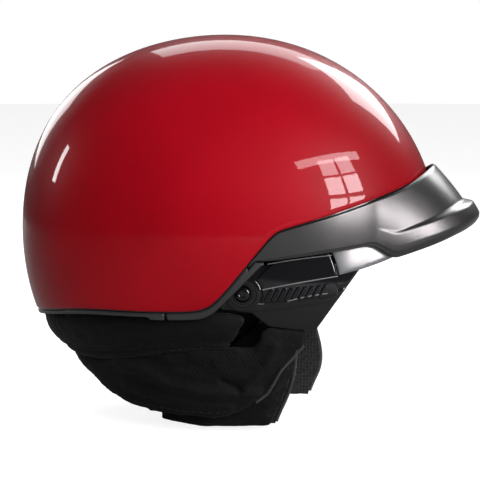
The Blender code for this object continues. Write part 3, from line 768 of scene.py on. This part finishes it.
def turned(name, profile, x_dir, centre, material, body, replaces):
    """Turned piece about X through centre (mm): profile is (radius, height outwards) from axis to axis."""
    bm = bmesh.new()
    sides = 48
    rings = []
    for r, h in profile:
        ring = [bm.verts.new((centre[0] + x_dir * h, centre[1] + r * math.cos(2 * math.pi * i / sides),
                              centre[2] + r * math.sin(2 * math.pi * i / sides))) for i in range(sides)]
        rings.append(ring)
    for a, b in zip(rings, rings[1:]):
        for i in range(sides):
            j = (i + 1) % sides
            bm.faces.new((a[i], a[j], b[j], b[i]))
    place(bm, [v.co[:] for v in bm.verts])
    bmesh.ops.remove_doubles(bm, verts=bm.verts, dist=1e-6)
    return add_mesh(name, bm, material, body, replaces, 40)


HUB = [(5.5, 0), (11.6, 0), (12, 0.4), (12, 1.5), (11.4, 2.0), (9.2, 2.0), (8.8, 1.5), (7.0, 1.5),
       (6.6, 2.0), (5.9, 2.0), (5.5, 1.6), (5.5, 0)]
SCREW = [(0, 0), (4.9, 0), (4.9, 3.6), (4.6, 4.6), (3.8, 5.3), (2.3, 5.55), (2.0, 5.3), (1.9, 3.8),
         (0, 3.8)]
RIVET = [(0, 0), (5.6, 0), (6, 0.3), (6, 2.4), (5.6, 2.7), (0, 2.7)]
WASHER = [(0, 0), (6.2, 0), (6.5, 0.3), (6.3, 0.8), (4.6, 1.5), (2.5, 1.8), (0, 1.8)]


def pivots():
    """The shield's hubs and screws, and the chin strap's rivets and washers."""
    for tag, side in (("right", -1), ("left", 1)):
        turned(f"hub_{tag}", HUB, side, (side * 100.0, PIVOT_Y, PIVOT_Z), GLOSS, "sun_shield",
               [f"shield_hub_{tag}"])
        turned(f"screw_{tag}", SCREW, side, (side * 98.9, PIVOT_Y, PIVOT_Z), GLOSS, "helmet",
               [f"pivot_screw_{tag}"])
        turned(f"rivet_{tag}", RIVET, -side, (side * 92.4, RIVET_Y, RIVET_Z), STEEL, "helmet",
               [f"strap_rivet_{tag}"])
        turned(f"washer_{tag}", WASHER, -side, (side * 87.0, RIVET_Y, RIVET_Z), STEEL, "helmet",
               [f"strap_washer_{tag}"])


# ---------------------------------------------------------------- soft goods

def bake(ob):
    """Turn the modifiers' result into the piece's own mesh."""
    deps = bpy.context.evaluated_depsgraph_get()
    me = bpy.data.meshes.new_from_object(ob.evaluated_get(deps))
    ob.modifiers.clear()
    ob.data = me
    return me


def points_of(me):
    co = np.empty(len(me.vertices) * 3, np.float32)
    me.vertices.foreach_get("co", co)
    return co.reshape(-1, 3)


def move_points(me, co):
    me.vertices.foreach_set("co", co.astype(np.float32).ravel())
    me.update()


def normals_of(me):
    no = np.empty(len(me.vertices) * 3, np.float32)
    me.vertex_normals.foreach_get("vector", no)
    return no.reshape(-1, 3)


PRESSURE, CLOTH_MASS, CLOTH_STIFF, CLOTH_FRAMES = 4.0, 0.25, 12.0, 20


def puff(ob, voxel, most, held):
    """Remesh a soft block (voxel in mm), inflate it with a short cloth run, cap the swell at most mm and
    smooth it. held(points in mm, helmet axes) picks the points that stay sewn in place."""
    rm = ob.modifiers.new("remesh", "REMESH")
    rm.mode, rm.voxel_size = "VOXEL", voxel * MM
    me = bake(ob)
    start = points_of(me)
    cl = ob.modifiers.new("cloth", "CLOTH")
    cl.settings.quality = 4
    cl.settings.mass = CLOTH_MASS
    cl.settings.tension_stiffness = cl.settings.compression_stiffness = CLOTH_STIFF
    cl.settings.use_pressure = True
    cl.settings.uniform_pressure_force = PRESSURE
    cl.settings.effector_weights.gravity = 0.0
    cl.point_cache.frame_end = CLOTH_FRAMES
    sewn = ob.vertex_groups.new(name="sewn")
    sewn.add([int(i) for i in np.nonzero(held(start / MM - SHIFT))[0]], 1.0, "REPLACE")
    cl.settings.vertex_group_mass = "sewn"
    scene = bpy.context.scene
    for f in range(1, CLOTH_FRAMES + 1):
        scene.frame_set(f)
    me = bake(ob)
    scene.frame_set(1)
    move = points_of(me) - start
    size = np.linalg.norm(move, axis=1, keepdims=True) + 1e-9
    ease = most * MM * np.tanh(size / (most * MM)) / size
    move_points(me, start + move * ease)
    sub = ob.modifiers.new("smooth", "SUBSURF")
    sub.levels = sub.render_levels = 2
    me = bake(ob)
    me.shade_smooth()


def carve(ob, height):
    """Move every point along its normal by height(points in mm, helmet axes), in mm."""
    me = ob.data
    co, no = points_of(me), normals_of(me)
    h = height(co / MM - SHIFT)
    move_points(me, co + no * (h * MM)[:, None])


def near_path(p, path):
    """Distance of points (n, 2) from a polyline."""
    best = np.full(len(p), 1e9)
    for a, b in zip(np.array(path[:-1], float), np.array(path[1:], float)):
        k = np.clip(((p - a) @ (b - a)) / ((b - a) @ (b - a)), 0, 1)
        best = np.minimum(best, np.linalg.norm(p - a - k[:, None] * (b - a), axis=1))
    return best


def crumple(p, scale, seed):
    """Soft random wrinkles, about -1 to 1, stretched along the length of the skirt."""
    s = np.array([1.0, 1.0, 1.9]) / scale
    return np.array([noise.noise(Vector((x, y, z + seed))) for x, y, z in p * s])


def stitches(name, path, ob, thread, body, length=3.0, gap=1.8, radius=0.32):
    """Row of sewn stitches: a path (mm) laid onto the surface of a piece. A stitch that would fold up
    at a gap in the surface is left out."""
    tree = BVHTree.FromObject(ob, bpy.context.evaluated_depsgraph_get())
    path = np.array(path, float)
    d = np.concatenate([[0], np.cumsum(np.linalg.norm(np.diff(path, axis=0), axis=1))])

    def on(s):
        q = [np.interp(s, d, path[:, k]) for k in range(3)]
        hit = tree.find_nearest(Vector((q[0], q[1] + ORIGIN_Y, q[2])) * MM)
        return hit[0], hit[1]
    bm = bmesh.new()
    s = 0.0
    while s + length < d[-1]:
        (a, na), (b, _) = on(s), on(s + length)
        if (b - a).length > 0.2 * length * MM:
            made = bmesh.ops.create_uvsphere(bm, u_segments=8, v_segments=6, radius=1.0)["verts"]
            along = (b - a).normalized()
            side = along.cross(na).normalized()
            lift = side.cross(along)
            for v in made:
                c = v.co.copy()
                v.co = ((a + b) / 2 + along * c.z * (b - a).length * 0.55 + side * c.x * radius * MM
                        + lift * (c.y * 0.75 - 0.1) * radius * MM * -1)
        s += length + gap
    add_mesh(name, bm, thread, body)


def skirt(psi, z, inset=0.0):
    """The skirt's outer surface at psi (degrees from the back) and height z, moved in by inset."""
    a = np.radians(psi)
    w = SKIRT_W0 + SKIRT_WK * z - inset
    b = np.where(np.cos(a) > 0, SKIRT_B0 + SKIRT_BK * z - inset, SKIRT_FRONT)
    return np.stack([-w * np.sin(a), b * np.cos(a), z], -1)


def roll_low(a):
    """Height of the roll's lower edge at a (radians from the back)."""
    return 58.0 - 13.0 * smooth(np.cos(a) * 1.2)


def roll_at(psi, q, w):
    """The neck roll's section: q 0 at its lower edge to 1 at the trim, w 0 outside to 1 inside."""
    a = np.radians(psi)
    y0 = 131.0 * np.cos(a)
    top = np.minimum(trim_z(y0) + 2.2, 85.6)
    low = roll_low(a)
    z = low + (top - low) * q
    round_ = 1 - (1 - q) ** 2.2
    width = 96.5 + 10.5 * round_ - 12.0 * w
    reach = 105.7 + 23.0 * round_ - 13.0 * w
    z = z + w * 5.0 * (1 - q)
    reach = np.where(np.cos(a) > 0, reach, SKIRT_FRONT)
    return np.stack([-width * np.sin(a), reach * np.cos(a), z], -1)


def neck_roll():
    """Padded roll below the trim: plump, with a sewn seam low on its outer face."""
    def fn(u, v, w):
        psi = -ROLL_END + 2 * ROLL_END * u
        q = 1 - v
        tuck = 1 - 0.85 * smooth((np.abs(psi) - ROLL_END + 9.0) / 9.0) ** 2
        q = 0.97 + (q - 0.97) * tuck
        return roll_at(psi, q, 0.08 + 0.84 * w)
    ob = add_mesh("neck_roll_pad", slab_mesh(fn, 120, 12, 5), ROLL, "helmet", ["neck_roll"])
    puff(ob, 4.5, 3.0, lambda p: p[:, 2] > 79.0)

    def seams(p):
        line = roll_low(np.arctan2(np.abs(p[:, 0]) / 107.0, p[:, 1] / 128.0)) + 7.0
        groove = -1.5 * np.exp(-((p[:, 2] - line) / 1.1) ** 2)
        quilt = -0.5 * np.exp(-((p[:, 2] - line - 3.4) / 0.8) ** 2)
        return groove + quilt + 0.45 * crumple(p, 11.0, 3.0) + 0.2 * crumple(p, 4.5, 9.0)
    carve(ob, seams)
    psi = np.linspace(-ROLL_END + 6, ROLL_END - 6, 160)
    for k, drop in enumerate((9.0, 4.9)):
        path = [roll_at(a, 0.0, 0.0) + np.array([0, 0, drop]) for a in psi]
        stitches(f"roll_stitches_{k}", path, ob, THREAD, "helmet")


def hem_z(psi):
    """Height of the curtain's hem."""
    k = [0, 20, 40, 60, 75, 92, 100.5, 107.6, 112, CURTAIN_END]
    return np.interp(np.abs(psi), k, [24, 21, 16, 13, 11, 10, 18, 30, 46, 64])


def curtain_top(psi):
    """Height of the curtain's upper edge, where the roll covers it."""
    a = np.abs(psi)
    return 56.0 - 13.5 * smooth(np.cos(np.radians(a)) * 1.2) + 13.5 * smooth((a - 103.5) / 3.0)


def neck_curtain():
    """Draped skirt below the roll, with the soft folds it hangs in."""
    def fn(u, v, w):
        psi = np.interp(u, [0, 0.1, 0.9, 1], [-CURTAIN_END, -103.5, 103.5, CURTAIN_END])
        top, low = curtain_top(psi), hem_z(psi)
        tuck = 3.0 * smooth((0.25 - v) / 0.25)
        return skirt(psi, top + 6.0 + (low - top - 6.0) * v, 0.9 + tuck + 5.4 * w)
    ob = add_mesh("neck_curtain_cloth", slab_mesh(fn, 170, 22, 3), CLOTH, "helmet",
                  ["neck_curtain"])
    puff(ob, 3.4, 3.0, lambda p: p[:, 2] > 56.0)
    # each fold: its line seen from the side (y, z), its width and its height
    folds = (([(70, 50), (46, 44), (27, 35), (-5, 30), (-31, 30)], 4.2, 3.0),
             ([(58, 32), (36, 26), (10, 21), (-12, 20)], 3.6, 1.7),
             ([(-8, 39), (-13, 36), (-19, 33)], 2.2, -2.2),
             ([(-44, 62), (-36, 48), (-24, 36)], 3.4, 1.8),
             ([(92, 42), (74, 30), (60, 24)], 4.0, 1.6),
             ([(0, 50), (22, 47), (44, 52)], 3.2, -1.3))

    def drape(p):
        h = np.zeros(len(p))
        for path, width, height in folds:
            near = near_path(p[:, 1:], path)
            h += height * np.exp(-(near / width) ** 2)
        back = smooth((p[:, 1] - 70.0) / 20.0)
        wave = np.cos(np.arctan2(p[:, 0], p[:, 1]) * 13.0 + 0.05 * p[:, 2])
        h = h * (1 - 0.7 * back) + 0.9 * back * wave * smooth((44 - p[:, 2]) / 20.0)
        outer = smooth((np.abs(p[:, 0]) / 82.0 + np.maximum(p[:, 1], 0) / 200.0 - 0.55) / 0.3)
        return h * outer + 0.8 * crumple(p, 15.0, 1.0) + 0.3 * crumple(p, 5.0, 5.0)
    carve(ob, drape)
    for tag, side in (("right", 1), ("left", -1)):
        edge = [skirt(side * a, hem_z(a), -0.4) for a in np.linspace(104.0, CURTAIN_END - 0.5, 40)]
        tube(f"curtain_piping_{tag}", edge, 0.8, PIPING, "helmet")
        hem = [skirt(side * a, hem_z(a) + 5.0, 0.0) for a in np.linspace(4.0, 96.0, 130)]
        stitches(f"hem_stitches_{tag}", hem, ob, THREAD, "helmet", 3.4, 2.2)


def flap_at(u, v, inset, side, reach):
    """An ear flap's surface: u from its front edge to its rear, v from the top down. The rear of the hem
    curls in, and reach brings the far flap's hem forward."""
    z = (68.0 - 15.0 * smooth((u - 0.3) / 0.3)) * (1 - v)
    front = -58.0 + 14.0 * smooth(v ** 2) - reach * smooth(v * 1.4)
    back = -12.0 + 50.0 * smooth(v * 1.2)
    y = front + (back - front) * u
    curl = 20.0 * smooth((y - 6.0) / 32.0) * smooth(v)
    x = (SKIRT_W0 + SKIRT_WK * z - inset) * np.sqrt(1 - (y / SKIRT_FRONT) ** 2) - curl
    return np.stack([side * x, y, z], -1)


def flaps():
    """The two padded ear flaps with their linings, piping and stitches."""
    for tag, side, reach in (("right", -1, 0.0), ("left", 1, 15.0)):
        def flap(u, v, w):
            corner = np.hypot(np.clip(0.16 - u, 0, 1) / 0.16, np.clip(v - 0.86, 0, 1) / 0.14)
            pull = 0.16 * np.clip(corner - 0.75, 0, 1)
            return flap_at(u + pull * (u < 0.16), 0.012 + 0.98 * v, 11.6 + 6.2 * w, side, reach)
        ob = add_mesh(f"ear_flap_{tag}_pad", slab_mesh(flap, 44, 34, 4), CLOTH, "helmet",
                      [f"ear_flap_{tag}"])
        puff(ob, 4.0, 2.6, lambda p: p[:, 2] > 58.0)

        def rumple(p, side=side):
            near = near_path(p[:, 1:], [(-50, 52), (-40, 34), (-22, 22), (0, 16)])
            low = near_path(p[:, 1:], [(-42, 14), (-20, 9), (12, 8)])
            free = smooth((p[:, 2] - 1.0) / 6.0)
            return free * (1.6 * np.exp(-(near / 4.0) ** 2) - 1.2 * np.exp(-(low / 2.6) ** 2)
                           + 0.8 * crumple(p, 13.0, 20.0 + side) + 0.3 * crumple(p, 5.0, 30.0))
        carve(ob, rumple)
        co = points_of(ob.data)
        co[:, 2] = np.maximum(co[:, 2], 0.0)        # nothing goes below the floor
        move_points(ob.data, co)

        def lining(u, v, w):
            quilt = 0.5 * np.abs(np.sin(u * math.pi * 3)) * np.abs(np.sin(v * math.pi * 4))
            return flap_at(0.05 + 0.52 * u, 0.05 + 0.88 * v, 18.9 + (1.8 + quilt) * w, side, reach)
        knit = add_mesh(f"flap_lining_{tag}_knit", slab_mesh(lining, 60, 60, 2), KNIT, "helmet",
                        [f"flap_lining_{tag}"])
        edge = [flap_at(0.045, v, 17.6, side, reach) for v in np.linspace(0.04, 0.9, 40)]
        tube(f"flap_piping_{tag}", edge, 1.1, PIPING, "helmet")
        row = [flap_at(0.12, v, 11.6, side, reach) for v in np.linspace(0.1, 0.9, 60)]
        stitches(f"flap_stitches_{tag}", row, ob, THREAD, "helmet")


def crown_pad():
    """Round pad in the top of the liner, quilted in rings and spokes."""
    bm = cap_mesh(120, 30, lambda p: rim_t(p) * 0.6, PAD_OUT + 0.3, PAD_IN, 6)
    ob = add_mesh("crown_pad_knit", bm, KNIT, "helmet", ["crown_pad"])

    def quilt(p):
        a = np.arctan2(p[:, 0], p[:, 1])
        r = np.hypot(p[:, 0], p[:, 1])
        inner = smooth((108.0 - np.hypot(r, p[:, 2] - DOME_Z)) / 4.0)      # the face towards the head
        spoke = np.exp(-(np.abs(np.sin(a * 3)) * r / 3.0 / 1.6) ** 2) * (r > 14)
        ring = np.exp(-((r - 34.0) / 1.6) ** 2)
        return -1.3 * np.maximum(spoke, ring) * inner
    carve(ob, quilt)


def ring_pad(name, start, end, channels):
    """Lining pad round the head from start to end (degrees from the front), sewn into channels."""
    def fn(u, v, w):
        phi = np.radians(start + (end - start) * u)
        t = rim_t(phi) * (0.655 + 0.32 * v)
        edge = np.minimum(np.minimum(u, 1 - u) * (end - start) * 1.6, np.minimum(v, 1 - v) * 45.0)
        crown = smooth(edge / 7.0)
        seam = np.exp(-(np.abs(np.sin(u * channels * math.pi)) * 14.0 / 3.0) ** 2) * (edge > 3.0)
        half = (PAD_IN + 1.0 - PAD_OUT) / 2
        thick = half * (0.25 + 0.75 * crown) * (1 - 0.35 * seam)
        return dome(phi, t, -(PAD_OUT + 0.2 + half * 0.98 + (w * 2 - 1) * thick * 0.95))
    ob = add_mesh(name + "_knit", slab_mesh(fn, channels * 24, 30, 3), KNIT, "helmet",
                  [name])


# ---------------------------------------------------------------- chin strap and buckle

STRAP_PATH = [(88.5, 109), (88.5, 97), (88.5, 85), (79, 77), (67.5, 66), (59.5, 52), (51, 39), (42, 30)]


def strap_at(path, side):
    """Webbing along a rounded path (x, z): u runs along it, v across, out from its middle."""
    p = np.array(path, float)
    for _ in range(4):
        q = np.repeat(p, 2, axis=0)[1:-1]
        q[0::2] = 0.75 * p[:-1] + 0.25 * p[1:]
        q[1::2] = 0.25 * p[:-1] + 0.75 * p[1:]
        p = np.vstack([p[:1], q, p[-1:]])
    d = np.concatenate([[0], np.cumsum(np.linalg.norm(np.diff(p, axis=0), axis=1))])

    def at(k):
        k = np.clip(k, 0, 1) * d[-1]
        return np.stack([np.interp(k, d, p[:, 0]), np.interp(k, d, p[:, 1])], -1)

    def fn(u, v, out):
        t = at(u + 0.01) - at(u - 0.01)
        t /= np.linalg.norm(t, axis=-1, keepdims=True)
        c = at(u) + np.stack([-t[..., 1], t[..., 0]], -1) * np.asarray(out)[..., None]
        y = RIVET_Y + (RIVET_Z - c[..., 1]) * STRAP_LEAN + STRAP_WIDE * (v - 0.5)
        return np.stack([side * c[..., 0], y, c[..., 1]], -1)
    return fn


def chin_straps():
    """Both straps with their woven patches and stitches; the right one stops just short of the ratchet
    tongue, the left one just short of the buckle frame."""
    ends = {"right": (-1, [(28, 27.0), (4, 26.2)]), "left": (1, [(37.5, 28.6)])}
    for tag, (side, tail) in ends.items():
        at = strap_at(STRAP_PATH + tail, side)

        def web(u, v, depth):
            rib = 0.10 * np.sin(v * math.pi * 22) * (np.abs(v - 0.5) < 0.42)
            return at(u, v, depth - STRAP_HALF + rib * np.sign(depth - STRAP_HALF))
        ob = add_mesh(f"strap_webbing_{tag}", plate(web, 220, 66, 0.78, (145.0, STRAP_WIDE)), WEB,
                      "chin_strap", [f"chin_strap_{tag}"])
        rows = [(u0, v0) for v0 in (0.16, 0.84) for u0 in (0.10, 0.70)]
        for k, (u0, v0) in enumerate(rows):
            path = [at(np.array(u), np.array(v0), np.array(-0.9)) for u in np.linspace(u0, u0 + 0.2, 20)]
            stitches(f"strap_stitches_{tag}_{k}", path, ob, THREAD, "chin_strap", 2.6, 1.4,
                     0.28)

        def patch(u, v, depth):
            return at(0.40 + 0.14 * u, 0.16 + 0.68 * v, 1.75 - depth)
        add_mesh(f"strap_patch_{tag}", plate(patch, 30, 20, 0.3, (20.0, 15.0)), PATCH, "chin_strap")


def refined(name, node, material, body, width):
    """A copy of a CAD node with its edges eased by width mm, in the node's place."""
    ob = new_object(name, frame["nodes"][node].data.copy())
    ob.data.materials.clear()
    ob.data.materials.append(material)
    weld = ob.modifiers.new("weld", "WELD")
    weld.merge_threshold = 0.00001
    flat = ob.modifiers.new("flat", "DECIMATE")
    flat.decimate_type = "DISSOLVE"
    flat.angle_limit = math.radians(2)
    ease = ob.modifiers.new("ease", "BEVEL")
    ease.width, ease.segments, ease.limit_method = width * MM, 3, "ANGLE"
    ease.angle_limit = math.radians(40)
    me = bake(ob)
    me.shade_smooth()
    me.set_sharp_from_angle(angle=math.radians(50))
    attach(ob, body)
    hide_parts(node)


def buckle():
    """The ratchet buckle and its pin."""
    refined("buckle_channel", "buckle_frame", STEEL, "chin_strap", 0.35)
    refined("buckle_tongue", "ratchet_tongue", TONGUE, "chin_strap", 0.25)
    refined("buckle_release", "buckle_lever", LEVER, "buckle_lever_body", 0.4)
    refined("buckle_pin", "lever_pin", STEEL, "chin_strap", 0.3)


outer_shell()
rim_seal()
trim_piece("trim_side_right", PEAK_END - 4.0, 101.25, 90, "side_trim_right", 3.4)
trim_piece("trim_side_left", -101.25, 4.0 - PEAK_END, 90, "side_trim_left", 3.4)
trim_piece("trim_rear", 101.8, 258.2, 220, "rear_trim", 2.8)
peak_piece()
foam_liner()
shield_lens()
for label, way in (("right", -1), ("left", 1)):
    shield_sides(label, way)
    side_plate(label, way)
    beads(label, way)
pivots()
neck_roll()
neck_curtain()
flaps()
crown_pad()
ring_pad("brow_pad", -60, 60, 5)
ring_pad("temple_pad_right", 63, 124, 3)
ring_pad("temple_pad_left", -124, -63, 3)
ring_pad("nape_pad", 127, 233, 4)
chin_straps()
buckle()
